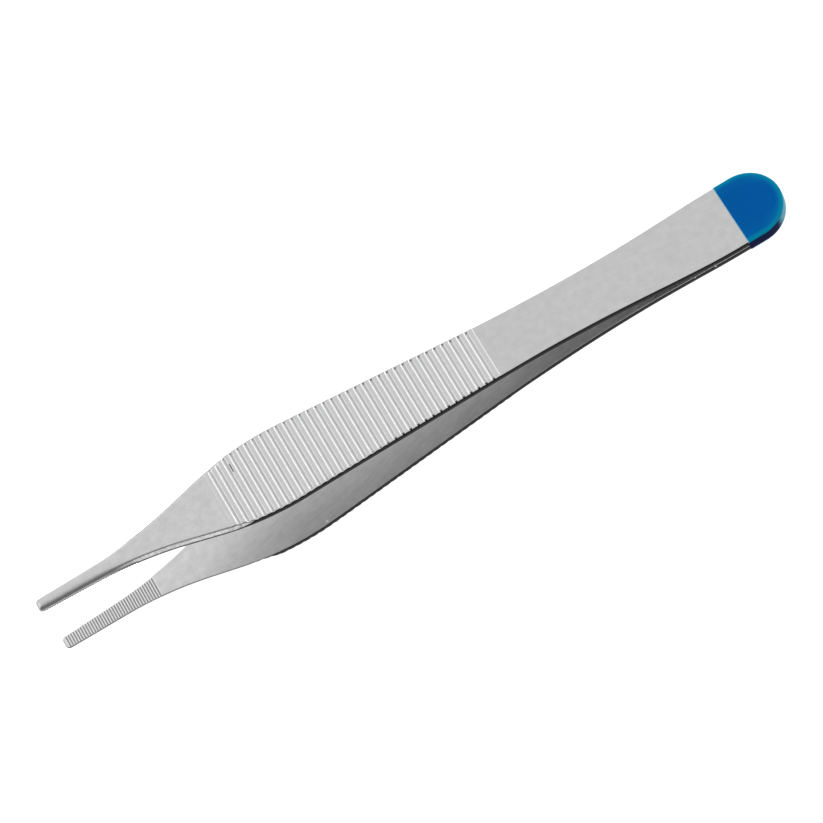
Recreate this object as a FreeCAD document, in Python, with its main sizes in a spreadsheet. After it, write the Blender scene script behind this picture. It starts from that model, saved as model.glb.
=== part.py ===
import FreeCAD, Part
import math
import os
import Sketcher

# Thumb forceps with fine serrated jaws, 12 cm long. Two stamped spring arms lie face to face at the
# heel, where they are welded, and spring apart towards the tips. Millimetres throughout.
# Each arm is drawn in its own frame: tip at x = 0, heel at +X, Y across, and z = 0 on the plane where
# the two arms meet, with the arm above it. The lower arm is the same blade turned over.

# Side view of one arm
overall_length = 120.4
arm_thickness = 1.0
heel_bend = 16.7  # from the heel end to the bend where the arms part
heel_bend_radius = 200.0
shank_angle = 4.37  # slope of the shank away from the meeting plane, degrees
bow_place = 42.4  # from the tip to the bow, where the grip turns into the jaw
bow_radius = 150.0
jaw_angle = 2.06  # slope of the jaw, degrees

# Plan outline: full width at each corner, before the corner is rounded
tip_width = 2.0
tip_corner_radius = 0.65
neck_place = 16.1
neck_width = 2.88
neck_radius = 57.0
shoulder_place = 34.3
shoulder_width = 13.07
shoulder_radius = 43.0
waist_place = 84.6
waist_width = 7.95
waist_radius = 260.0
heel_flare = 11.7  # from the heel end back to where the sides run parallel
heel_width = 10.6
heel_flare_radius = 110.0

# Bevel ground round the outer face of the jaw and neck
bevel_width = 0.8
bevel_angle = 45.0  # between the bevel and the outer face, degrees
bevel_runout = 4.4  # from the shoulder corner back to where the bevel starts to run out
bevel_runout_radius = 12.0

# Grip ridges milled across the outer face
ridge_pitch = 1.25
groove_width = 0.62
groove_radius = 0.2
crest_radius = 0.3
ridge_flank = 50.0  # steepest slope of a ridge's side, degrees
jaw_side_grooves = 11
shank_side_grooves = 24

# Cross serrations on the jaws' gripping faces
tooth_pitch = 0.41
tooth_depth = 0.2
tooth_land = 0.06  # flat left between two grooves
tooth_count = 37
tooth_margin = 0.42  # from the tip to the first groove

# Blue coat round the heel end
coat_length = 7.8
coat_thickness = 0.1
coat_skew = 2.0  # the dipped edge is a little out of square, degrees

# Every size above goes into the document's own table, and the sketches take their dimensions from it.
SIZES = {name: amount for name, amount in globals().items() if isinstance(amount, (int, float))}

V = FreeCAD.Vector
doc = FreeCAD.newDocument("thumb_forceps")
sheet = doc.addObject("Spreadsheet::Sheet", "sizes")
for row, (alias, amount) in enumerate(SIZES.items(), start=1):
    sheet.set(f"A{row}", alias)
    sheet.set(f"B{row}", str(amount))
    sheet.setAlias(f"B{row}", alias)
doc.recompute()


def value(text):
    """What a formula comes to with the sizes as they are."""
    answer = sheet.evalExpression(text)
    return float(getattr(answer, "Value", answer))


def new_sketch(body, name, role):
    """Sketch on one of the body's own origin planes."""
    sketch = body.newObject("Sketcher::SketchObject", name)
    plane = next(o for o in body.Origin.OriginFeatures if o.Role == role)
    sketch.AttachmentSupport = [(plane, "")]
    sketch.MapMode = "FlatFace"
    return sketch


def place_point(sketch, geo, pos, x, y):
    """Fix a point of the sketch at formulas x and y from its origin."""
    for kind, text, axis in (("DistanceX", x, -2), ("DistanceY", y, -1)):
        if text == "0":
            sketch.addConstraint(Sketcher.Constraint("PointOnObject", geo, pos, axis))
            continue
        amount = value(text)
        if amount < 0:
            ends, text, amount = (geo, pos, -1, 1), "-(" + text + ")", -amount
        else:
            ends = (-1, 1, geo, pos)
        index = sketch.addConstraint(Sketcher.Constraint(kind, *ends, amount))
        sketch.setExpression(f"Constraints[{index}]", text)


def end_at(sketch, geo, point):
    """Which end of a line or arc lies at the point: 1 for its start, 2 for its end."""
    return min((1, 2), key=lambda pos: sketch.getPoint(geo, pos).distanceToPoint(point))


def draw_outline(sketch, corners):
    """Closed outline through corners (x, y, radius): a radius of None is a sharp corner, and two
    corners in a row marked "end" are joined by a half circle."""
    at = [V(value(x), value(y), 0) for x, y, _ in corners]
    count = len(corners)
    cuts = []
    for i, (_, _, radius) in enumerate(corners):
        back, ahead = at[i - 1] - at[i], at[(i + 1) % count] - at[i]
        turn = math.pi - back.getAngle(ahead)
        if radius is None:
            cuts.append((at[i], at[i]))
        elif radius == "end":
            straight = back if corners[i - 1][2] != "end" else ahead
            across = ahead if straight is back else back
            tangent = at[i] + straight.normalize() * (across.Length / 2)
            cuts.append((tangent, tangent))
        else:
            setback = value(radius) * math.tan(turn / 2)
            cuts.append((at[i] + back.normalize() * setback, at[i] + ahead.normalize() * setback))

    lines = {}
    for i in range(count):
        if corners[i][2] == "end" and corners[(i + 1) % count][2] == "end":
            continue
        segment = Part.LineSegment(cuts[i][1], cuts[(i + 1) % count][0])
        lines[i] = sketch.addGeometry(segment)

    for i, (x, y, radius) in enumerate(corners):
        before, after = lines.get((i - 1) % count), lines.get(i)
        if radius is None:
            start, end = end_at(sketch, after, at[i]), end_at(sketch, before, at[i])
            sketch.addConstraint(Sketcher.Constraint("Coincident", before, end, after, start))
            place_point(sketch, after, start, x, y)
            continue
        corner = sketch.addGeometry(Part.Point(at[i]), True)
        place_point(sketch, corner, 1, x, y)
        for line in (before, after):
            if line is not None:
                sketch.addConstraint(Sketcher.Constraint("PointOnObject", corner, 1, line))
        if radius == "end" and before is None:
            continue
        if radius == "end":
            first, last = cuts[i][0], cuts[(i + 1) % count][0]
            middle = (at[i] + at[(i + 1) % count]) * 0.5
            after = lines[(i + 1) % count]
        else:
            first, last = cuts[i]
            towards = (first + last) * 0.5 - at[i]
            turn = math.pi - (at[i - 1] - at[i]).getAngle(at[(i + 1) % count] - at[i])
            depth = value(radius) * (1 / math.cos(turn / 2) - 1)
            middle = at[i] + towards.normalize() * depth
        arc = sketch.addGeometry(Part.Arc(first, middle, last))
        for line, point in ((before, first), (after, last)):
            ends = (line, end_at(sketch, line, point), arc, end_at(sketch, arc, point))
            sketch.addConstraint(Sketcher.Constraint("Tangent", *ends))
        if radius == "end":
            centre = sketch.addConstraint(
                Sketcher.Constraint("DistanceX", -1, 1, arc, 3, value(f"{x} - ({y})")))
            sketch.setExpression(f"Constraints[{centre}]", f"{x} - ({y})")
        else:
            bend = sketch.addConstraint(Sketcher.Constraint("Radius", arc, value(radius)))
            sketch.setExpression(f"Constraints[{bend}]", radius)


def both_sides(half):
    """Corners of the side at +Y followed by their mirror images at -Y."""
    return half + [(x, f"-({y})", radius) for x, y, radius in reversed(half)]


# Heights of the inner face above the meeting plane, at the bow and at the tip.
BOW_HEIGHT = "(sizes.overall_length - sizes.heel_bend - sizes.bow_place) * tan(sizes.shank_angle * 1 deg)"
TIP_HEIGHT = BOW_HEIGHT + " + sizes.bow_place * tan(sizes.jaw_angle * 1 deg)"
# The outer face's corner at the bow lies one thickness off, along the bisector of the bend.
HALF_SUM = "(sizes.shank_angle + sizes.jaw_angle) / 2 * 1 deg"
BISECTOR = "sizes.arm_thickness / cos((sizes.shank_angle - sizes.jaw_angle) / 2 * 1 deg)"
BOW_OUTER = (f"sizes.bow_place + {BISECTOR} * sin({HALF_SUM})",
             f"{BOW_HEIGHT} + {BISECTOR} * cos({HALF_SUM})")
TIP_OUTER = f"{TIP_HEIGHT} + sizes.arm_thickness / cos(sizes.jaw_angle * 1 deg)"
HEEL_BEND_PLACE = "sizes.overall_length - sizes.heel_bend"
HEEL_BEND_SHIFT = "sizes.arm_thickness * tan(sizes.shank_angle / 2 * 1 deg)"
SPARE = "sizes.arm_thickness / 2"  # how far a cutting outline reaches past the steel

SIDE_PROFILE = [
    ("0", TIP_HEIGHT, None),
    ("sizes.bow_place", BOW_HEIGHT, "sizes.bow_radius"),
    (HEEL_BEND_PLACE, "0", "sizes.heel_bend_radius"),
    ("sizes.overall_length", "0", None),
    ("sizes.overall_length", "sizes.arm_thickness", None),
    (f"{HEEL_BEND_PLACE} + {HEEL_BEND_SHIFT}", "sizes.arm_thickness",
     "sizes.heel_bend_radius - sizes.arm_thickness"),
    (*BOW_OUTER, "sizes.bow_radius + sizes.arm_thickness"),
    ("0", TIP_OUTER, None),
]

PLAN_OUTLINE = both_sides([
    ("0", "sizes.tip_width / 2", "sizes.tip_corner_radius"),
    ("sizes.neck_place", "sizes.neck_width / 2", "sizes.neck_radius"),
    ("sizes.shoulder_place", "sizes.shoulder_width / 2", "sizes.shoulder_radius"),
    ("sizes.waist_place", "sizes.waist_width / 2", "sizes.waist_radius"),
    ("sizes.overall_length - sizes.heel_flare", "sizes.heel_width / 2", "sizes.heel_flare_radius"),
    ("sizes.overall_length", "sizes.heel_width / 2", "end"),
])

BLANK = both_sides([
    (f"0 - {SPARE}", f"sizes.shoulder_width / 2 + {SPARE}", None),
    (f"sizes.overall_length + {SPARE}", f"sizes.shoulder_width / 2 + {SPARE}", None),
])

# What the bevel leaves of the outer face: the plan outline drawn in by the bevel's width, which runs
# out past the sides at the shoulder.
# The cut goes deeper than the bevel reaches on the sides, so it leaves no ledge there, and its outer
# boundary stays clear of the steel as it narrows with depth.
BEVEL_DEPTH = "(sizes.bevel_width / tan(sizes.bevel_angle * 1 deg) + sizes.arm_thickness / 8)"
CUT_MARGIN = f"4 * {BEVEL_DEPTH}"
RUNOUT = "sizes.shoulder_place - sizes.bevel_runout"
SIDE_SLOPE = "(sizes.shoulder_width - sizes.neck_width) / 2 / (sizes.shoulder_place - sizes.neck_place)"
BEVEL_LAND = [
    ("sizes.bevel_width", "sizes.tip_width / 2 - sizes.bevel_width", None),
    ("sizes.neck_place", "sizes.neck_width / 2 - sizes.bevel_width",
     "sizes.neck_radius + sizes.bevel_width"),
    (RUNOUT, f"sizes.shoulder_width / 2 - sizes.bevel_width - sizes.bevel_runout * {SIDE_SLOPE}",
     "sizes.bevel_runout_radius"),
    ("sizes.shoulder_place", "sizes.shoulder_width / 2", None),
]
BEVEL_CUT = both_sides(BEVEL_LAND + [
    ("sizes.shoulder_place", f"sizes.shoulder_width / 2 + {CUT_MARGIN}", None),
    (f"0 - {CUT_MARGIN}", f"sizes.shoulder_width / 2 + {CUT_MARGIN}", None),
])

GROOVE_CENTRE = "sizes.ridge_pitch / 2"
GROOVE_EDGE = "sizes.groove_width / 2"
GROOVE = [
    (f"{GROOVE_CENTRE} - {GROOVE_EDGE} - sizes.crest_radius", SPARE, None),
    (f"{GROOVE_CENTRE} - {GROOVE_EDGE} - sizes.crest_radius", "0", None),
    (f"{GROOVE_CENTRE} - {GROOVE_EDGE}", "0", "sizes.crest_radius"),
    (GROOVE_CENTRE, f"0 - {GROOVE_EDGE} * tan(sizes.ridge_flank * 1 deg)", "sizes.groove_radius"),
    (f"{GROOVE_CENTRE} + {GROOVE_EDGE}", "0", "sizes.crest_radius"),
    (f"{GROOVE_CENTRE} + {GROOVE_EDGE} + sizes.crest_radius", "0", None),
    (f"{GROOVE_CENTRE} + {GROOVE_EDGE} + sizes.crest_radius", SPARE, None),
]


def tooth_gap(shift):
    """Corners of one V groove between two serrations, cut up into the gripping face."""
    centre = f"sizes.tooth_margin + {shift}"
    half = "(sizes.tooth_pitch - sizes.tooth_land)"
    return [
        (f"{centre} - {half}", "0 - sizes.tooth_depth", None),
        (centre, "sizes.tooth_depth", None),
        (f"{centre} + {half}", "0 - sizes.tooth_depth", None),
    ]


def tilt(sketch, x, y, angle, axis):
    """Move a sketch's origin to (x, y) on its plane's own axes and turn it about an axis."""
    sketch.AttachmentOffset = FreeCAD.Placement(V(0, 0, 0), FreeCAD.Rotation(axis, 1))
    sketch.setExpression("AttachmentOffset.Base.x", x)
    sketch.setExpression("AttachmentOffset.Base.y" if axis.z else "AttachmentOffset.Base.z", y)
    sketch.setExpression("AttachmentOffset.Rotation.Angle", angle)


def cut_through(body, name, sketch):
    """Cut a sketch right through the body, both ways from the sketch's plane."""
    cut = body.newObject("PartDesign::Pocket", name)
    cut.Profile = sketch
    cut.Type = "ThroughAll"
    cut.Midplane = True
    return cut


def row_of(body, name, cut, sketch, count, pitch, reverse=False):
    """Repeat a cut along the sketch's own x axis."""
    row = body.newObject("PartDesign::LinearPattern", name)
    row.Originals = [cut]
    row.Direction = (sketch, ["H_Axis"])
    row.Reversed = reverse
    row.Mode = "Spacing"
    row.setExpression("Offset", pitch)
    row.setExpression("Occurrences", count)
    body.Tip = row
    return row


def make_arm(label, tooth_shift):
    """One spring arm: a strip bent to the side profile, trimmed to its plan outline, then ground,
    milled across the grip and serrated at the jaw."""
    body = doc.addObject("PartDesign::Body", label)
    body.Label = label

    profile = new_sketch(body, "side_profile", "XZ_Plane")
    draw_outline(profile, SIDE_PROFILE)
    strip = body.newObject("PartDesign::Pad", "bent_strip")
    strip.Profile = profile
    strip.Midplane = True
    strip.setExpression("Length", "sizes.shoulder_width")

    outline = new_sketch(body, "plan_outline", "XY_Plane")
    draw_outline(outline, BLANK)
    draw_outline(outline, PLAN_OUTLINE)
    trimmed = cut_through(body, "trimmed_to_outline", outline)
    doc.recompute()
    land = new_sketch(body, "bevel_land", "XY_Plane")
    tilt(land, "0", TIP_OUTER, "sizes.jaw_angle", V(0, 1, 0))
    draw_outline(land, BEVEL_CUT)
    bevel = body.newObject("PartDesign::Pocket", "jaw_bevel")
    bevel.Profile = land
    bevel.setExpression("Length", BEVEL_DEPTH)
    bevel.setExpression("TaperAngle", "(sizes.bevel_angle - 90) * 1 deg")
    doc.recompute()

    for side, angle, count in (("shank", "sizes.shank_angle", "sizes.shank_side_grooves"),
                               ("jaw", "sizes.jaw_angle", "sizes.jaw_side_grooves")):
        sketch = new_sketch(body, f"{side}_side_groove", "XZ_Plane")
        tilt(sketch, *BOW_OUTER, f"0 - {angle}", V(0, 0, 1))
        towards_tip = side == "jaw"
        draw_outline(sketch, [(f"-({x})", y, r) for x, y, r in GROOVE] if towards_tip else GROOVE)
        groove = cut_through(body, f"{side}_side_first_groove", sketch)
        doc.recompute()
        row_of(body, f"{side}_side_grooves", groove, sketch, count, "sizes.ridge_pitch", towards_tip)
        doc.recompute()

    sketch = new_sketch(body, "tooth_gap", "XZ_Plane")
    tilt(sketch, "0", TIP_HEIGHT, "0 - sizes.jaw_angle", V(0, 0, 1))
    draw_outline(sketch, tooth_gap(tooth_shift))
    gap = cut_through(body, "first_tooth_gap", sketch)
    doc.recompute()
    row_of(body, "serrations", gap, sketch, "sizes.tooth_count", "sizes.tooth_pitch")
    doc.recompute()
    return body


def make_coat(label):
    """Blue coat dipped over the heel: a cap whose hollow has the two arms' own outline and thickness."""
    body = doc.addObject("PartDesign::Body", label)
    body.Label = label
    side = "sizes.heel_width / 2 + sizes.coat_thickness"
    start = "sizes.overall_length - sizes.coat_length"
    lean = f"({side}) * tan(sizes.coat_skew * 1 deg)"
    outline = new_sketch(body, "coat_outline", "XY_Plane")
    draw_outline(outline, [
        (f"{start} - {lean}", side, None),
        ("sizes.overall_length + sizes.coat_thickness", side, "end"),
        ("sizes.overall_length + sizes.coat_thickness", f"-({side})", "end"),
        (f"{start} + {lean}", f"-({side})", None),
    ])
    cap = body.newObject("PartDesign::Pad", "coat_cap")
    cap.Profile = outline
    cap.Midplane = True
    cap.setExpression("Length", "2 * (sizes.arm_thickness + sizes.coat_thickness)")

    inside = new_sketch(body, "arm_outline", "XY_Plane")
    draw_outline(inside, PLAN_OUTLINE)
    hollow = body.newObject("PartDesign::Pocket", "coat_hollow")
    hollow.Profile = inside
    hollow.Midplane = True
    hollow.setExpression("Length", "2 * sizes.arm_thickness")
    doc.recompute()
    return body


def lowest_line(solids):
    """Slope of the straight line that the part would lie on: the side of the lower hull of its side
    view that passes under its centre of mass."""
    points = sorted((p.x, p.z) for solid in solids for edge in solid.Edges
                    for p in [v.Point for v in edge.Vertexes] + [edge.valueAt(
                        (edge.FirstParameter + edge.LastParameter) / 2)])
    hull = []
    for p in points:
        while len(hull) > 1 and ((hull[-1][0] - hull[-2][0]) * (p[1] - hull[-2][1])
                                 <= (hull[-1][1] - hull[-2][1]) * (p[0] - hull[-2][0])):
            hull.pop()
        hull.append(p)
    volume = sum(solid.Volume for solid in solids)
    centre = sum(solid.CenterOfMass.x * solid.Volume for solid in solids) / volume
    left, right = next((a, b) for a, b in zip(hull, hull[1:]) if a[0] <= centre <= b[0])
    return math.atan2(right[1] - left[1], right[0] - left[0])


upper_arm = make_arm("upper_arm", "0")
lower_arm = make_arm("lower_arm", "sizes.tooth_pitch / 2")
lower_arm.Placement = FreeCAD.Placement(V(0, 0, 0), FreeCAD.Rotation(V(1, 0, 0), 180))
doc.recompute()
parts = [upper_arm, lower_arm, make_coat("blue_end_coat")]

# Lay the forceps on its lower arm, as it comes to rest on a table, and set the origin on the table
# under the middle of its box.
slope = lowest_line([solid for part in parts for solid in part.Shape.Solids])
level = FreeCAD.Placement(V(0, 0, 0), FreeCAD.Rotation(V(0, 1, 0), math.degrees(slope)))
boxes = [part.Shape.transformed(level.Matrix).optimalBoundingBox() for part in parts]
middle = V((min(b.XMin for b in boxes) + max(b.XMax for b in boxes)) / 2,
           (min(b.YMin for b in boxes) + max(b.YMax for b in boxes)) / 2,
           min(b.ZMin for b in boxes))
lie_down = FreeCAD.Placement(V(0, 0, 0) - middle, FreeCAD.Rotation(0, 0, 0)) * level
for part in parts:
    part.Placement = lie_down * part.Placement
doc.recompute()

faults = [o.Name for o in doc.Objects if "Invalid" in o.State or "Error" in o.State]
faults += [o.Name for o in doc.Objects
           if o.TypeId == "Sketcher::SketchObject" and not o.FullyConstrained]
faults += [part.Label for part in parts
           if part.Shape.isNull() or not part.Shape.isValid() or len(part.Shape.Solids) != 1]
if faults:
    raise RuntimeError("Failed: " + ", ".join(faults))

os.makedirs("parts", exist_ok=True)
for part in parts:
    part.Shape.exportStep(f"parts/{part.Label}.step")
    box = part.Shape.optimalBoundingBox()
    print(part.Label, round(part.Shape.Volume, 2), "mm3,", len(part.Shape.Faces), "faces, box",
          [round(c, 3) for c in (box.XMin, box.YMin, box.ZMin, box.XMax, box.YMax, box.ZMax)])
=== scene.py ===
import math

import bpy
import numpy as np
from mathutils import Matrix, Vector


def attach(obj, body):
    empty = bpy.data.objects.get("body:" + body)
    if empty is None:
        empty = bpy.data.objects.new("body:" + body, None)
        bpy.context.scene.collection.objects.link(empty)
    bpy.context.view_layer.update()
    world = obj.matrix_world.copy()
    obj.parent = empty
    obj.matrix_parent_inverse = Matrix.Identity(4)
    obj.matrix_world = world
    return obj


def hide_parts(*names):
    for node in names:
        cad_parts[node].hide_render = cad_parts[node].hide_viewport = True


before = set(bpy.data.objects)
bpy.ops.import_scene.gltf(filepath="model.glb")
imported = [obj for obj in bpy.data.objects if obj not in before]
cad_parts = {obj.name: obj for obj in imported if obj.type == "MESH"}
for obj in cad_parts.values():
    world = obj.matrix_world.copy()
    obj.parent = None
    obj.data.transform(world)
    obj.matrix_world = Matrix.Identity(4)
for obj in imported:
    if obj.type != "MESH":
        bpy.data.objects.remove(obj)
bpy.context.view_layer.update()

# Spring arms
# Two blades stamped from 1 mm stainless strip, bent, ground round the jaw, milled across the grip,
# cross cut on the gripping faces and brushed satin. They are welded face to face at the heel.

# Sizes are in millimetres, in the blade's own frame: tip at x = 0, heel at +X, and the two blades
# meet at z = 0. A pair of places says where a change starts and where it is complete.
MILLIMETRE = 0.001
BLADE_LENGTH = 120.4
BLADE_THICKNESS = 1.0
HEEL_BEND = 16.7
HEEL_BEND_RADIUS = 200.0
SHANK_SLOPE = math.radians(4.37)
BOW_PLACE = 42.4
BOW_RADIUS = 150.0
JAW_SLOPE = math.radians(2.06)
BOW_RUN = BOW_PLACE / math.cos(JAW_SLOPE)   # the bow's distance from the tip along the blade
BOW_HEIGHT = (BLADE_LENGTH - HEEL_BEND - BOW_PLACE) * math.tan(SHANK_SLOPE)
TIP_HEIGHT = BOW_HEIGHT + BOW_PLACE * math.tan(JAW_SLOPE)

TIP_HALF = 1.0
TIP_CORNER = 0.65
NECK_PLACE, NECK_HALF, NECK_RADIUS = 16.1, 1.44, 57.0
SHOULDER_PLACE, SHOULDER_HALF, SHOULDER_RADIUS = 34.3, 6.535, 43.0
WAIST_PLACE, WAIST_HALF, WAIST_RADIUS = 84.6, 3.975, 260.0
FLARE_PLACE, HEEL_HALF, FLARE_RADIUS = 108.7, 5.3, 110.0

JAW_ROUND = 0.8          # depth of the half round jaw, and its reach in from the side
JAW_REACH = 1.1
BEVEL_IN = (9.0, 17.0)   # where a flat bevel takes over from the half round, and where it fades out
BEVEL_OUT = (29.8, 35.4)
BEVEL_RUN = 0.52         # its reach in from the side, and the radius at its top
BEVEL_LIP = 0.22
BEVEL_SLOPE = math.radians(70)
BEVEL_DEEP = 0.76        # its depth, which is less on the side away from the camera
FAR_BEVEL_DEEP = 0.36
BEVEL_TRACE = 0.02       # depth that is left where it has faded out
SHANK_EDGE = 0.12        # small easing left by the brushing elsewhere
INNER_EDGE = 0.07

RIDGE_PITCH = 1.25
RIDGE_HALF_FLAT = 0.315  # from a ridge's centre line to the corner of its flank
RIDGE_FLANK = math.radians(50)
CREST_RADIUS = 0.4
GROOVE_RADIUS = 0.2
FIRST_RIDGE, LAST_RIDGE = -10, 24   # counted from the bow towards the tip and towards the heel
RIDGE_END = 0.16         # how far a ridge's end is rounded in from the side
GROOVE_AT_SIDE = 0.35    # share of its depth that a groove has at the blade's side
GROOVE_FULL = 0.4        # how far in from there it is full
FIRST_GROOVE = 0.1       # depth to which the cutter runs in before the first ridge
RUN_IN = (-1.1, -0.5)    # where it does so, in pitches from that ridge
LAST_STEP = 0.07         # how far the shank lies below the last ridge
STEP_DOWN = (0.25, 0.5)  # where it drops behind that ridge, and where it has risen again
STEP_BACK = (2, 9)

TOOTH_PITCH = 0.41
TOOTH_HALF = 0.175
TOOTH_DEPTH = 0.2
TOOTH_COUNT = 37
TOOTH_MARGIN = 0.42

# How the closed heel and the bow bring the pair to rest on a table: tilt about Y, and where the
# middle of the jaw end then lies.
REST_TILT = math.radians(3.3386)
REST_PLACE = Vector((-59.9923, 0.0, 8.1156))


def eased_line(corners):
    """Points along a line through corners (x, y, radius), each corner rounded by its radius."""
    arc_points = 40
    at = [np.array(corner[:2], float) for corner in corners]
    points = [at[0]]
    for before, corner, after, (_, _, radius) in zip(at, at[1:], at[2:], corners[1:]):
        back = (before - corner) / np.linalg.norm(before - corner)
        ahead = (after - corner) / np.linalg.norm(after - corner)
        turn = math.pi - math.acos(np.clip(back @ ahead, -1, 1))
        inward = (back + ahead) / np.linalg.norm(back + ahead)
        centre = corner + inward * radius / math.cos(turn / 2)
        first = corner + back * radius * math.tan(turn / 2) - centre
        side = math.copysign(1, back[1] * ahead[0] - back[0] * ahead[1])
        for angle in np.linspace(0, turn, arc_points):
            swing = side * angle
            points.append(centre + (first[0] * math.cos(swing) - first[1] * math.sin(swing),
                                    first[0] * math.sin(swing) + first[1] * math.cos(swing)))
    return np.array(points + [at[-1]])


def half_width(x):
    """Half the blade's width at a distance from the tip."""
    side = eased_line([
        (0, TIP_HALF - TIP_CORNER, 0), (0, TIP_HALF, TIP_CORNER),
        (NECK_PLACE, NECK_HALF, NECK_RADIUS), (SHOULDER_PLACE, SHOULDER_HALF, SHOULDER_RADIUS),
        (WAIST_PLACE, WAIST_HALF, WAIST_RADIUS), (FLARE_PLACE, HEEL_HALF, FLARE_RADIUS),
        (BLADE_LENGTH, HEEL_HALF, HEEL_HALF), (BLADE_LENGTH, 0, 0)])[1:]
    return np.interp(x, side[:, 0], side[:, 1])


def from_edge(x, y, half):
    """Distance in from the blade's outline, also round the tip's corners and the round heel."""
    across = np.abs(y)
    sides = half - across
    heel_centre = BLADE_LENGTH - HEEL_HALF
    heel = HEEL_HALF - np.hypot(np.maximum(x - heel_centre, 0), across)
    corner = TIP_CORNER - np.hypot(np.maximum(TIP_CORNER - x, 0),
                                   np.maximum(across - (TIP_HALF - TIP_CORNER), 0))
    edge = np.where(x < TIP_CORNER, np.minimum(sides, corner), sides)
    edge = np.where(x > heel_centre, heel, edge)
    return np.maximum(edge, 0)


def rounding(edge, radius):
    """Drop of the face towards an edge that is rounded by a quarter circle."""
    inside = np.clip(radius - edge, 0, radius)
    return radius - np.sqrt(np.maximum(radius ** 2 - inside ** 2, 0))


def step(value, start, end):
    """Smooth rise from 0 to 1 between start and end."""
    t = np.clip((value - start) / (end - start), 0, 1)
    return t * t * (3 - 2 * t)


def edge_drop(place, edge, deep):
    """Drop of the outer face at its edges: half round at the jaw, a flat bevel at the neck, and only
    a small easing along the shank."""
    flat = step(place, *BEVEL_IN)
    left = 1 - step(place, *BEVEL_OUT)
    ground = np.maximum(BEVEL_RUN * left - edge, 0)
    lip = np.minimum(ground, BEVEL_LIP * math.sin(BEVEL_SLOPE))
    top = BEVEL_LIP - np.sqrt(BEVEL_LIP ** 2 - lip ** 2)
    facet = top + (ground - lip) * math.tan(BEVEL_SLOPE)
    facet = np.minimum(facet, deep * left + BEVEL_TRACE)
    eased = rounding(edge, SHANK_EDGE) * (1 - left)
    jaw = rounding(edge * JAW_ROUND / JAW_REACH, JAW_ROUND)
    return (1 - flat) * jaw + flat * np.maximum(facet, eased)


def ridge_drop(place, edge):
    """Drop of the outer face between the ridges of the grip, whose ends are rounded like bars."""
    profile = eased_line([
        (0, 0, 0), (RIDGE_HALF_FLAT, 0, CREST_RADIUS),
        (RIDGE_PITCH / 2, -(RIDGE_PITCH / 2 - RIDGE_HALF_FLAT) * math.tan(RIDGE_FLANK), GROOVE_RADIUS),
        (RIDGE_PITCH - RIDGE_HALF_FLAT, 0, 0)])
    along = place - BOW_RUN
    ridge = np.clip(np.round(along / RIDGE_PITCH), FIRST_RIDGE - 1, LAST_RIDGE)
    away = np.abs(along - ridge * RIDGE_PITCH)
    end = np.maximum(RIDGE_END - edge, 0)
    away = np.where(ridge >= FIRST_RIDGE, np.hypot(away, end), away)
    drop = -np.interp(np.minimum(away, RIDGE_PITCH / 2), profile[:, 0], profile[:, 1])

    start, full = [(FIRST_RIDGE + pitches) * RIDGE_PITCH for pitches in RUN_IN]
    run_in = FIRST_GROOVE * step(along, start, full)
    drop = np.where(along < full, run_in, drop)
    drop = np.where(along < FIRST_RIDGE * RIDGE_PITCH, np.minimum(run_in, drop), drop)
    drop = drop * (GROOVE_AT_SIDE + (1 - GROOVE_AT_SIDE) * step(edge, 0, GROOVE_FULL))

    past = along - LAST_RIDGE * RIDGE_PITCH
    shank = LAST_STEP * step(past, *STEP_DOWN) * (1 - step(past, *STEP_BACK))
    return np.where(past > 0, shank, drop)


def tooth_drop(place, shift):
    """Depth of the V grooves cut across the gripping face."""
    cut = place - TOOTH_MARGIN - shift
    count = np.clip(np.round(cut / TOOTH_PITCH), 0, TOOTH_COUNT - 1)
    away = np.abs(cut - count * TOOTH_PITCH)
    return TOOTH_DEPTH * np.maximum(1 - away / TOOTH_HALF, 0)


# The blade seen from the side, and the distance along it
SIDE_LINE = eased_line([(0, TIP_HEIGHT, 0), (BOW_PLACE, BOW_HEIGHT, BOW_RADIUS),
                        (BLADE_LENGTH - HEEL_BEND, 0, HEEL_BEND_RADIUS), (BLADE_LENGTH, 0, 0)])
SIDE_RUN = np.concatenate([[0], np.cumsum(np.linalg.norm(np.diff(SIDE_LINE, axis=0), axis=1))])
BLADE_RUN = SIDE_RUN[-1]

# Spacing of the mesh along the blade
TOOTH_STATIONS = (-TOOTH_HALF, -0.03, 0, 0.03, TOOTH_HALF)
JAW_SPACING = 0.4
RIDGE_SPACING = RIDGE_PITCH / 16
SHANK_SPACING = 0.8
LEAST_SPACING = 0.012
TIP_STATIONS = 10
HEEL_STATIONS = 26
HEEL_LAST_ANGLE = 89.2   # degrees round the heel, where a flat cap closes it

# Distances in from each side at which the faces are divided, and the half width below which they
# draw together. The sides are divided at shares of their height.
OUTER_ROWS = np.array([0, 0.04, 0.09, 0.16, 0.21, 0.26, 0.32, 0.38, 0.45, 0.52, 0.6, 0.68, 0.77, 0.83, 0.95])
INNER_ROWS = np.array([0, 0.03, 0.07, 0.13, 0.4])
FULL_ROWS_HALF = 0.98
SIDE_LEVELS = np.array([0.3, 0.5, 0.7])


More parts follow.
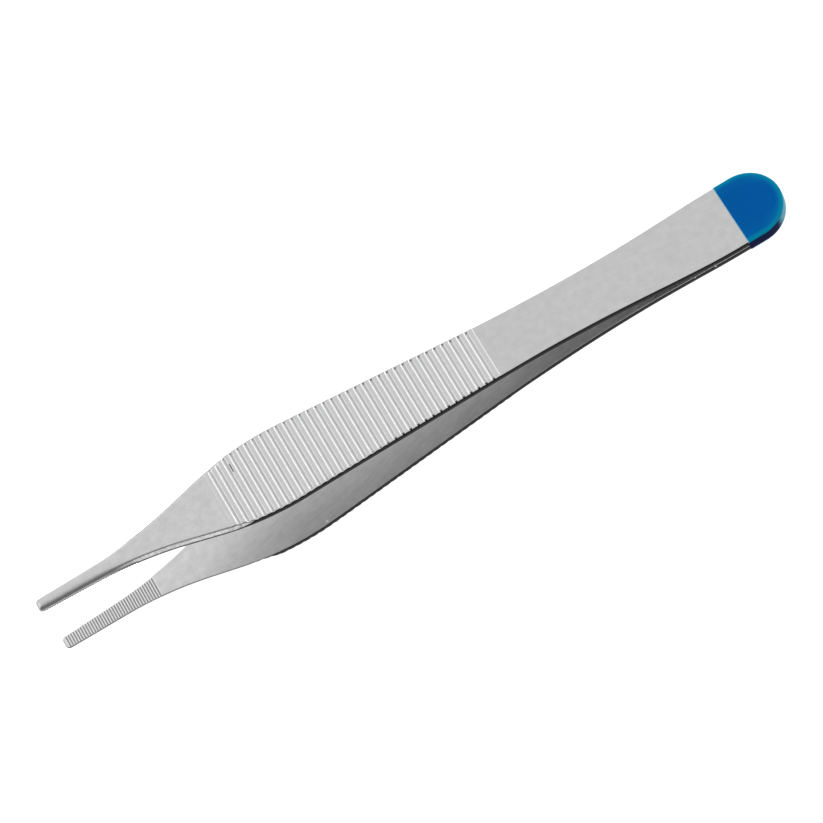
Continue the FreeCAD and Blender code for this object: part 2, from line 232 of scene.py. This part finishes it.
def blade_stations(shift):
    """Places along the blade, close together at the tip, teeth, ridges and heel end."""
    teeth = TOOTH_MARGIN + shift + TOOTH_PITCH * np.arange(TOOTH_COUNT)
    first = BOW_RUN + (FIRST_RIDGE - 1) * RIDGE_PITCH
    last = BOW_RUN + (LAST_RIDGE + 1) * RIDGE_PITCH
    heel_turn = np.radians(np.linspace(0, HEEL_LAST_ANGLE, HEEL_STATIONS))
    heel = BLADE_RUN - HEEL_HALF + HEEL_HALF * np.sin(heel_turn)
    tip_turn = np.radians(np.linspace(0, 90, TIP_STATIONS))
    places = [
        TIP_CORNER * (1 - np.cos(tip_turn)),
        *(teeth + offset for offset in TOOTH_STATIONS),
        np.arange(teeth[-1] + JAW_SPACING, first, JAW_SPACING),
        np.arange(first, last, RIDGE_SPACING),
        np.arange(last, heel[0], SHANK_SPACING),
        heel]
    places = np.unique(np.round(np.concatenate(places), 4))
    return places[np.concatenate([[True], np.diff(places) > LEAST_SPACING])]


def across_blade(half, rows):
    """Places across the blade from -Y to +Y: set distances in from each side, then an even spread."""
    rows = rows[None, :] * np.minimum(1, half / FULL_ROWS_HALF)[:, None]
    side = half[:, None] - rows
    middle = side[:, -1:] * np.array([2 / 3, 1 / 3])[None, :]
    right = np.concatenate([side, middle], axis=1)
    return np.concatenate([-right, np.zeros((len(half), 1)), right[:, ::-1]], axis=1)


# Marks on the blade's points, from 0 to 1, which tell its finishes and its painted light and shade apart
MARKS = (
    "side",      # the sheared sides, the edges over them and the open ends of the grooves, painted dark as reflection and shade
    "side_reflection_line",    # the middle of the sides, painted as a lighter line of reflection
    "bevel",     # the ground bevel, partly lightened as a painted highlight
    "grip",      # the milled ridges
    "jaw",       # the smoother faces ahead of the ridges
    "inner",     # the gripping side
    "teeth",     # the toothed part of it
    "root",      # the bottom of a groove or of a tooth gap, painted darker as shade
    "closing",   # the gripping side where the arms close up, painted lighter against the gap's shade
    "tip",       # the blunt end, painted darker as shade
)
MILLED = (-0.7, 0.28)            # ends of the milled face, in pitches from the first and last ridge
GROOVE_SHADE_DEPTH = (0.1, 0.24)        # depth over which a groove's bottom is painted darker as shade
NOTCH_DEPTH = (0.1, 0.2)         # the same at the ends of the grooves,
NOTCH_IN = (0.55, 0.28)          # which are dark this far in from the side,
NOTCH_ALONG = (8, 14)            # starting this far behind the bow
FAR_NOTCH = 0.3                  # and weaker on the side away from the camera
# The sides' painted dark reflection also reaches over the edges as thin dark lines.
EDGE_REACH = 0.07                # how far the sides' tone reaches over the edge past the jaw,
JAW_EDGE_REACH = 0.02            # and how far at the jaw and on the gripping side,
EDGE_FROM = 0.5                  # behind this place
BRIGHT_REACH = BEVEL_RUN - 0.1   # the bevel's painted highlight ends short of its top
BRIGHT_IN = (7.0, 17.0)
BRIGHT_OUT = (29.8, 35.9)
# The gripping side is painted lighter where the arms close up, against the shade of the narrow gap.
SMOOTH_INSIDE = (42, 18)         # where the gripping side is smooth,
CLOSING = (78, 102)              # and where the arms close up
TIP_END = (0.8, 0.25)            # where the blunt end's painted shade starts, and from where it is full


def blade_marks(place, edge, near, inner_edge, shift):
    """Marks round each cross-section: outer face, right side, gripping face and left side."""
    place = place[:, None]
    along = place - BOW_RUN
    milled_from = (FIRST_RIDGE + MILLED[0]) * RIDGE_PITCH
    milled_to = (LAST_RIDGE + MILLED[1]) * RIDGE_PITCH
    milled = (along > milled_from) & (along < milled_to)

    # The grooves' open ends at the side are painted dark as shade, less so on the far side.
    groove_end = step(ridge_drop(place, np.ones(1)), *NOTCH_DEPTH) * milled * step(along, *NOTCH_ALONG)
    notch_shade = np.where(near, 1.0, FAR_NOTCH) * groove_end * step(edge, *NOTCH_IN)
    rim = np.where(edge < EDGE_REACH, step(place, *BEVEL_IN), 0)
    rim = np.where(edge < JAW_EDGE_REACH, 1, rim) * (place > EDGE_FROM)
    bright_reach = BRIGHT_REACH * (1 - step(place, *BRIGHT_OUT))
    outer = {
        "side": np.maximum(rim, notch_shade),
        "bevel": (edge < bright_reach) * step(place, *BRIGHT_IN),
        "grip": milled,
        "jaw": along < milled_from,
        # Groove bottoms, painted darker as shade
        "root": step(ridge_drop(place, edge), *GROOVE_SHADE_DEPTH) * milled,
        "tip": step(place, *TIP_END),
    }

    cut = (place - TOOTH_MARGIN - shift) / TOOTH_PITCH
    inner = {
        "side": inner_edge < JAW_EDGE_REACH,
        "jaw": step(place, *SMOOTH_INSIDE),
        "inner": 1,
        "teeth": (cut > -0.5) & (cut < TOOTH_COUNT - 0.5),
        # Tooth gaps, painted darker as shade
        "root": tooth_drop(place, shift) / TOOTH_DEPTH,
        "closing": step(place, *CLOSING),
    }
    # The sides are painted near black as reflection, with a lighter painted line of reflection along their
    # middle.
    side_faces = {"side": 1, "side_reflection_line": SIDE_LEVELS == 0.5}

    side_shape = (len(place), len(SIDE_LEVELS))
    faces = ((outer, edge.shape), (side_faces, side_shape), (inner, inner_edge.shape), (side_faces, side_shape))
    return {key: np.concatenate([np.broadcast_to(face.get(key, 0), shape) for face, shape in faces], axis=1)
            for key in MARKS}


def in_scene(name, data):
    """New object in the scene that holds a mesh, a light or a camera."""
    made = bpy.data.objects.new(name, data)
    bpy.context.scene.collection.objects.link(made)
    return made


def skin(name, rings, marks, crease, open_front=False):
    """Object skinned over rings of points in the blade's frame, laid to rest on the table, with its
    ends closed. It is sharp where faces meet at more than the crease angle."""
    turn = np.array(Matrix.Rotation(REST_TILT, 3, "Y"))
    points = (rings @ turn.T + np.array(REST_PLACE)) * MILLIMETRE
    count, around = rings.shape[:2]
    index = np.arange(count * around).reshape(count, around)
    ahead = np.roll(index, -1, axis=1)
    quads = np.stack([index[:-1], ahead[:-1], ahead[1:], index[1:]], axis=-1).reshape(-1, 4)
    ends = [index[-1][::-1].tolist()]
    if not open_front:
        ends.insert(0, index[0].tolist())
    mesh = bpy.data.meshes.new(name)
    mesh.from_pydata(points.reshape(-1, 3).tolist(), [], quads.tolist() + ends)
    for key, values in marks.items():
        layer = mesh.attributes.new(key, "FLOAT", "POINT")
        layer.data.foreach_set("value", values.astype(np.float32).ravel())
    mesh.shade_smooth()
    mesh.set_sharp_from_angle(angle=crease)
    return in_scene(name, mesh)


def spring_arm(name, shift, turned_over):
    """One arm as a skin of cross-sections, with its faces marked for the finish and for the painted light
    and shade.
    """
    place = blade_stations(shift)
    x_in = np.interp(place, SIDE_RUN, SIDE_LINE[:, 0])
    z_in = np.interp(place, SIDE_RUN, SIDE_LINE[:, 1])
    rise = np.gradient(z_in, place)
    slope = -np.interp(place, (place[:-1] + place[1:]) / 2, (rise[:-1] + rise[1:]) / 2)
    half = half_width(x_in)

    outer_y = across_blade(half, OUTER_ROWS)
    edge = from_edge(x_in[:, None], outer_y, half[:, None])
    near = outer_y * (1 if turned_over else -1) > 0
    deep = np.where(near, BEVEL_DEEP, FAR_BEVEL_DEEP)
    outer_h = BLADE_THICKNESS - edge_drop(place[:, None], edge, deep) - ridge_drop(place[:, None], edge)
    inner_y = across_blade(half, INNER_ROWS)[:, ::-1]
    inner_edge = from_edge(x_in[:, None], inner_y, half[:, None])
    inner_h = tooth_drop(place[:, None], shift) + rounding(inner_edge, INNER_EDGE)

    right_top, right_low = outer_h[:, -1:], inner_h[:, :1]
    left_low, left_top = inner_h[:, -1:], outer_h[:, :1]
    right_h = right_top + (right_low - right_top) * SIDE_LEVELS
    left_h = left_low + (left_top - left_low) * SIDE_LEVELS
    side_y = np.repeat(half[:, None], len(SIDE_LEVELS), axis=1)
    y = np.concatenate([outer_y, side_y, inner_y, -side_y], axis=1)
    h = np.concatenate([outer_h, right_h, inner_h, left_h], axis=1)

    x = x_in[:, None] + h * np.sin(slope)[:, None]
    z = z_in[:, None] + h * np.cos(slope)[:, None]
    rings = np.stack([x, y, z], axis=-1)
    if turned_over:
        rings = rings * [1, -1, -1]
    marks = blade_marks(place, edge, near, inner_edge, shift)
    return skin(name, rings, marks, math.radians(38))


def node(tree, kind, inputs=None, **settings):
    """Add a shader node, set its properties, and set or link its inputs."""
    made = tree.nodes.new(kind)
    for key, value in settings.items():
        setattr(made, key, value)
    for key, value in (inputs or {}).items():
        if isinstance(value, bpy.types.NodeSocket):
            tree.links.new(value, made.inputs[key])
        else:
            made.inputs[key].default_value = value
    return made


def mixed(tree, factor, first, second):
    """Colour between two, by a factor that may be a socket."""
    return node(tree, "ShaderNodeMix", {0: factor, 6: first, 7: second}, data_type="RGBA").outputs[2]


def grey(level):
    return (level, level, level, 1)


def shaded(tree, factor, levels):
    """Grey between two levels."""
    return mixed(tree, factor, grey(levels[0]), grey(levels[1]))


def noise(tree, place, scale, detail, roughness=0.5):
    return node(tree, "ShaderNodeTexNoise", {"Vector": place, "Scale": scale, "Detail": detail,
                                             "Roughness": roughness}).outputs[0]


def strokes(tree, place, scales, detail, roughness):
    """Noise drawn out into brush strokes by a scale for each axis."""
    drawn = node(tree, "ShaderNodeMapping", {"Vector": place, "Scale": scales}).outputs[0]
    return noise(tree, drawn, 1.0, detail, roughness)


def ranged(tree, value, start, end, low=0.0, high=1.0):
    """Number that runs from low to high while the value runs from start to end."""
    return node(tree, "ShaderNodeMapRange", {"Value": value, "From Min": start, "From Max": end,
                                             "To Min": low, "To Max": high}).outputs[0]


def times(tree, value, factor):
    return node(tree, "ShaderNodeMath", {0: value, 1: factor}, operation="MULTIPLY").outputs[0]


def marked(tree, keys):
    """The marks of those names on the mesh's points."""
    return {key: node(tree, "ShaderNodeAttribute", attribute_name=key).outputs["Fac"] for key in keys}


def spot(tree, place, low, high, soft):
    """1 inside a box in millimetres, fading to 0 over a soft border."""
    at = node(tree, "ShaderNodeSeparateXYZ", {0: place})
    factor = 1.0
    for axis in range(3):
        for start, end in ((low[axis] - soft, low[axis]), (high[axis] + soft, high[axis])):
            inside = ranged(tree, at.outputs[axis], start * MILLIMETRE, end * MILLIMETRE)
            factor = times(tree, factor, inside)
    return factor


def new_material(name):
    """Material with its node tree, its shader and the place on the object."""
    material = bpy.data.materials.new(name)
    material.use_nodes = True
    tree = material.node_tree
    place = node(tree, "ShaderNodeTexCoord").outputs["Object"]
    return material, tree, tree.nodes["Principled BSDF"], place


# Grey of each finish and of the painted shade, light and reflection: at the low and the high end of its
# noise, or at a mark of 0 and of 1
SATIN = (0.59, 0.72)
SCOURED = (0.5, 0.84)
SMOOTH = (0.62, 0.79)
SMOOTH_INNER = (0.7, 0.86)
MILLED_CREST = (0.59, 0.75)
# Painted shade at the bottom of the milled grooves
MILLED_ROOT_SHADE = 0.5
# Ground bevel: its speckled finish, lightened by a painted highlight
GROUND_WITH_HIGHLIGHT = (0.68, 1.0)
# Land of the teeth, with their gaps painted darker as shade
TOOTH_LAND_AND_ROOT_SHADE = (0.9, 0.5)
# Painted dark reflection on the sides, a little lighter along their middle
SIDE_PAINTED_REFLECTION = (0.006, 0.014)
# Painted light on the gripping side where the arms close up
CLOSED_UP_PAINTED_LIGHT = 0.95
# Painted shade on the blunt end
BLUNT_END_SHADE = 0.5
PATCH = 0.5
PATCH_SHARE = 0.4        # how far the darkest patches go towards that grey
STEEL_ROUGHNESS = (0.3, 0.42)
BUMP_DEPTH = 0.00001     # metres
SCOUR_ANGLE = math.radians(-14)

# Small marks that the photo shows: a dark nick in a groove of the upper grip, a bright one at the
# near edge of the lower gripping face, and two bright specks in the seam at the heel. Each is a box
# in millimetres on the table, low and high corner, and the brightness of the steel in it.
SMALL_MARKS = [
    ((-26.3, 2.9, 11.0), (-26.18, 4.3, 14.0), 0.16),
    ((-19.4, -5.95, 0.0), (-19.0, -5.6, 1.6), 1.0),
    ((43.4, -6.0, 1.7), (43.5, -5.0, 2.3), 0.6),
    ((46.7, -6.0, 1.5), (46.8, -5.0, 2.1), 0.6),
]
SPOT_BORDER = 0.06


def satin_steel():
    """Stainless steel brushed along the blade and brighter where it is ground, with a painted highlight on
    the bevel, painted shade in the grooves, tooth gaps and at the tip, painted light where the arms close
    up, and a painted dark reflection on its sides.
    """
    material, tree, shader, place = new_material("satin_steel")
    brush = strokes(tree, place, (160, 5200, 160), 5.0, 0.65)
    aslant = node(tree, "ShaderNodeVectorRotate", {"Vector": place, "Angle": SCOUR_ANGLE},
                  rotation_type="Z_AXIS").outputs[0]
    scoured = strokes(tree, aslant, (330, 4200, 330), 4.0, 0.6)
    fine = noise(tree, place, 2600.0, 3.0, 0.6)
    speckle = ranged(tree, noise(tree, place, 2400.0, 2.0), 0.35, 0.65)
    patches = ranged(tree, noise(tree, place, 800.0, 4.0, 0.6), 0.3, 0.7, 0.0, PATCH_SHARE)
    mark = marked(tree, MARKS)

    inner = shaded(tree, scoured, SCOURED)
    # Gripping side painted lighter where the arms close up, against the gap's shade
    inner = mixed(tree, mark["closing"], inner, grey(CLOSED_UP_PAINTED_LIGHT))
    colour = mixed(tree, mark["inner"], shaded(tree, brush, SATIN), inner)
    smooth = mixed(tree, mark["inner"], shaded(tree, fine, SMOOTH), shaded(tree, scoured, SMOOTH_INNER))
    colour = mixed(tree, mark["jaw"], colour, smooth)
    colour = mixed(tree, patches, colour, grey(PATCH))
    # Tooth gaps painted darker as shade
    colour = mixed(tree, mark["teeth"], colour, shaded(tree, mark["root"], TOOTH_LAND_AND_ROOT_SHADE))
    # Grooves painted darker towards their bottom as shade
    milled = mixed(tree, mark["root"], shaded(tree, fine, MILLED_CREST), grey(MILLED_ROOT_SHADE))
    colour = mixed(tree, mark["grip"], colour, milled)
    # Ground bevel with a painted highlight along it
    colour = mixed(tree, mark["bevel"], colour, shaded(tree, speckle, GROUND_WITH_HIGHLIGHT))
    # Blunt end painted darker as shade
    colour = mixed(tree, mark["tip"], colour, grey(BLUNT_END_SHADE))
    # Sides and edge lines painted near black as reflection, and the grooves' open ends as shade
    colour = mixed(tree, mark["side"], colour, shaded(tree, mark["side_reflection_line"], SIDE_PAINTED_REFLECTION))
    for low, high, level in SMALL_MARKS:
        colour = mixed(tree, spot(tree, place, low, high, SPOT_BORDER), colour, grey(level))

    rough = ranged(tree, brush, 0.0, 1.0, *STEEL_ROUGHNESS)
    height = node(tree, "ShaderNodeMath", {0: brush, 1: 0.6, 2: fine}, operation="MULTIPLY_ADD").outputs[0]
    bump = node(tree, "ShaderNodeBump", {"Height": height, "Strength": 0.25, "Distance": BUMP_DEPTH})
    tree.links.new(colour, shader.inputs["Base Color"])
    tree.links.new(rough, shader.inputs["Roughness"])
    tree.links.new(bump.outputs[0], shader.inputs["Normal"])
    shader.inputs["Metallic"].default_value = 1.0
    return material


steel = satin_steel()
ARMS = (
    # name, shift of its teeth, turned over
    ("upper_spring_arm", 0, False),
    ("lower_spring_arm", TOOTH_PITCH / 2, True),
)
for name, shift, turned_over in ARMS:
    arm = spring_arm(name, shift, turned_over)
    arm.data.materials.append(steel)
    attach(arm, "root")
    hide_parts(name.replace("spring_", ""))

# Blue heel coat
# A coat of blue enamel, 0.1 mm thick, that the closed heel was dipped in. It runs over both blades
# and the seam between them, and its edge is a little out of square.
COAT_LENGTH = 7.9
COAT_THICKNESS = 0.1
COAT_SKEW = math.radians(0.5)
COAT_EDGE = 0.24         # radius of its edges
COAT_LIP = 0.9           # share of its thickness by which its front edge drops to the steel
COAT_SHARES = (0.0, 0.03, 0.05, *np.linspace(0, 1, 12)[1:])   # along its straight part
COAT_ANGLES = np.radians(np.linspace(4, 89.3, 30))            # round its end
COAT_ROWS = np.array([0, 0.03, 0.07, 0.12, 0.18, 0.26, 0.4, 0.9])
COAT_LEVELS = np.array([0.5, 0, -0.5])

COAT_RIM = (1.1, 0.1)    # distance in from the outline, for the greener painted highlight along the rim
COAT_SIDE = (1.0, 0.85)  # height from the seam, for the painted shade on the side
COAT_LIT = (2.4, 3.6)    # distance past the round end's centre, for the painted pale reflection at the end of the side
RIM_SHARE = 0.85
LIT_SHARE = 0.75
ENAMEL_BLUE = (0.0, 0.128, 0.48, 1)
ENAMEL_LIGHT = (0.0, 0.152, 0.54, 1)
# Painted highlight along the round edge
ENAMEL_RIM_HIGHLIGHT = (0.002, 0.37, 0.56, 1)
# Painted shade on the sides
ENAMEL_SIDE_SHADE = (0.0, 0.001, 0.05, 1)
# Painted pale reflection at the end of the sides
ENAMEL_END_REFLECTION = (0.16, 0.5, 0.66, 1)
# Painted highlight along the front lip
ENAMEL_LIP_HIGHLIGHT = (0.45, 0.8, 0.85, 1)


def heel_coat(name):
    """The coat's outside as a skin of cross-sections, closed by a thin front lip against the steel."""
    half = HEEL_HALF + COAT_THICKNESS
    centre = BLADE_LENGTH - HEEL_HALF
    start = BLADE_LENGTH - COAT_LENGTH
    sections = [(share, 0.0) for share in COAT_SHARES] + [(1.0, turn) for turn in COAT_ANGLES]
    rings = []
    for share, turn in sections:
        wide = half * math.cos(turn)
        side = wide - COAT_ROWS * min(1, wide / FULL_ROWS_HALF)
        right = np.concatenate([side, side[-1] * np.array([2 / 3, 1 / 3])])
        y = np.concatenate([-right, [0], right[::-1]])
        front = start - y * math.tan(COAT_SKEW)
        x = front + (centre - front) * share + half * math.sin(turn)
        edge = np.where(x > centre, half - np.hypot(np.maximum(x - centre, 0), y), wide - np.abs(y))
        height = BLADE_THICKNESS + COAT_THICKNESS - rounding(np.maximum(edge, 0), COAT_EDGE)
        if share == 0:
            height = height - COAT_THICKNESS * COAT_LIP
        column = np.full(len(COAT_LEVELS), y[-1])
        rings.append(np.concatenate([
            np.stack([x, y, height], axis=1),
            np.stack([np.full(len(column), x[-1]), column, height[-1] * COAT_LEVELS], axis=1),
            np.stack([x, y, -height], axis=1)[::-1],
            np.stack([np.full(len(column), x[0]), -column, -height[0] * COAT_LEVELS], axis=1)]))
    rings = np.array(rings)

    x, y, z = np.moveaxis(rings, -1, 0)
    side = step(np.abs(z), *COAT_SIDE)
    lip = np.zeros(side.shape)
    lip[:2] = 1 - side[:2]
    # Marks for the painted rim highlight, the painted side shade, the painted lip highlight and the painted
    # end reflection
    marks = {
        "rim": step(half - np.hypot(np.maximum(x - centre, 0), y), *COAT_RIM),
        "side": side,
        "lip": lip,
        "lit": side * step(x - centre, *COAT_LIT),
    }
    return skin(name, rings, marks, math.radians(50), open_front=True)


def blue_enamel():
    """Blue enamel with a greener painted highlight towards the round edge, painted shade on the sides, a
    painted pale reflection at their end and a painted highlight on the front lip.
    """
    material, tree, shader, place = new_material("blue_enamel")
    mark = marked(tree, ("rim", "side", "lip", "lit"))
    colour = mixed(tree, noise(tree, place, 260.0, 2.0), ENAMEL_BLUE, ENAMEL_LIGHT)
    # Painted highlight along the rim
    colour = mixed(tree, times(tree, mark["rim"], RIM_SHARE), colour, ENAMEL_RIM_HIGHLIGHT)
    # Sides painted dark navy as shade
    colour = mixed(tree, mark["side"], colour, ENAMEL_SIDE_SHADE)
    # Painted pale reflection at the end of the sides
    colour = mixed(tree, times(tree, mark["lit"], LIT_SHARE), colour, ENAMEL_END_REFLECTION)
    # Front lip painted pale as a highlight
    colour = mixed(tree, mark["lip"], colour, ENAMEL_LIP_HIGHLIGHT)
    peel = noise(tree, place, 1500.0, 2.0)
    bump = node(tree, "ShaderNodeBump", {"Height": peel, "Strength": 0.2, "Distance": BUMP_DEPTH})
    tree.links.new(colour, shader.inputs["Base Color"])
    tree.links.new(bump.outputs[0], shader.inputs["Normal"])
    shader.inputs["Roughness"].default_value = 0.3
    shader.inputs["IOR"].default_value = 1.3
    shader.inputs["Specular IOR Level"].default_value = 0.06
    return material


coat = heel_coat("blue_heel_coat")
coat.data.materials.append(blue_enamel())
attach(coat, "root")
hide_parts("blue_end_coat")

# Floor
# A plain white table top that fills the view and takes only a faint shadow. The steel mirrors the
# studio's own tones in its place.
FLOOR_REACH = 4.0        # metres
floor_mesh = bpy.data.meshes.new("floor")
floor_corners = [(-1, -1, 0), (1, -1, 0), (1, 1, 0), (-1, 1, 0)]
floor_mesh.from_pydata([Vector(corner) * FLOOR_REACH for corner in floor_corners], [], [(0, 1, 2, 3)])
floor = in_scene("floor", floor_mesh)
pale, _, pale_shader, _ = new_material("pale_floor")
pale_shader.inputs["Base Color"].default_value = grey(0.35)
pale_shader.inputs["Roughness"].default_value = 0.9
pale_shader.inputs["Emission Color"].default_value = grey(1.0)
pale_shader.inputs["Emission Strength"].default_value = 0.95
floor_mesh.materials.append(pale)
floor.visible_glossy = False

# Studio light
# A white table and a bright room behind it, with a darker front where the camera stands, and a soft
# box over each end that draws the bright lines on the ridges' flanks.
SOFT_BOXES = {
    # name: direction from the object, distance, width, height in metres, radiance
    "tip_box": ((-0.86, 0.35, 0.36), 1.3, 0.8, 0.7, 0.9),
    "heel_box": ((0.86, 0.35, 0.36), 1.3, 0.8, 0.7, 1.7),
}
for name, (direction, distance, width, height, radiance) in SOFT_BOXES.items():
    light = bpy.data.lights.new(name, "AREA")
    light.shape = "RECTANGLE"
    light.size, light.size_y = width, height
    light.energy = radiance * math.pi * width * height
    box = in_scene(name, light)
    away = Vector(direction).normalized()
    box.location = away * distance
    box.rotation_mode = "QUATERNION"
    box.rotation_quaternion = away.to_track_quat("Z", "Y")

SKY_STEPS = {
    # height of the direction: brightness there, for the room behind and for the camera's side
    "behind": ((0.0, 0.95), (0.2, 0.9), (1.0, 0.88)),
    "front": ((-0.26, 0.98), (-0.12, 0.17), (0.74, 0.17), (0.93, 0.38), (1.0, 0.86)),
}
FRONT_TO_BEHIND = (-0.25, 0.35)   # the direction's Y part, from the front's tone to the room's
world = bpy.data.worlds.new("studio")
bpy.context.scene.world = world
world.use_nodes = True
sky = world.node_tree
direction = node(sky, "ShaderNodeTexCoord").outputs["Generated"]
parts = node(sky, "ShaderNodeSeparateXYZ", {0: direction})
lifted = ranged(sky, parts.outputs[2], -1.0, 1.0)
skies = {}
for side, steps in SKY_STEPS.items():
    ramp = node(sky, "ShaderNodeValToRGB", {0: lifted})
    stops = ramp.color_ramp.elements
    for number, (at, level) in enumerate(steps):
        position = (at + 1) / 2
        stop = stops[number] if number < 2 else stops.new(position)
        stop.position = position
        stop.color = grey(level)
    skies[side] = ramp.outputs[0]
facing = ranged(sky, parts.outputs[1], *FRONT_TO_BEHIND)
room = mixed(sky, facing, skies["front"], skies["behind"])
sky.links.new(room, sky.nodes["Background"].inputs["Color"])
bpy.context.scene.view_settings.view_transform = "Standard"

# Camera
# The view of the photograph: from the near side, high above, with a long lens. Direction and roll
# are in the blade's own frame, and the rest tilt brings them onto the table.
VIEW_X, VIEW_Y = -0.0077, -0.5013
VIEW_ROLL = math.radians(30.893)
VIEW_DISTANCE = 0.95               # metres
FOCAL_PIXELS = 6696.4
IMAGE_PIXELS = 823
AIM = Vector((59.9, 0, 0))         # the point looked at, and its shift across the view, in millimetres
AIM_RIGHT, AIM_UP = -0.331, -0.345

rest_turn = Matrix.Rotation(REST_TILT, 3, "Y")
back = Vector((VIEW_X, VIEW_Y, math.sqrt(1 - VIEW_X ** 2 - VIEW_Y ** 2)))
along = (Vector((1, 0, 0)) - back * back.x).normalized()
above = back.cross(along)
right = along * math.cos(VIEW_ROLL) - above * math.sin(VIEW_ROLL)
up = back.cross(right)
aim = AIM + right * AIM_RIGHT + up * AIM_UP
axes = [rest_turn @ axis for axis in (right, up, back)]
camera = in_scene("camera", bpy.data.cameras.new("camera"))
placed = Matrix([[axis[row] for axis in axes] for row in range(3)]).to_4x4()
placed.translation = (rest_turn @ aim + REST_PLACE) * MILLIMETRE + axes[2] * VIEW_DISTANCE
camera.matrix_world = placed
camera.data.sensor_width = 36
camera.data.lens = FOCAL_PIXELS / IMAGE_PIXELS * camera.data.sensor_width
camera.data.clip_start, camera.data.clip_end = 0.01, 20
bpy.context.scene.camera = camera
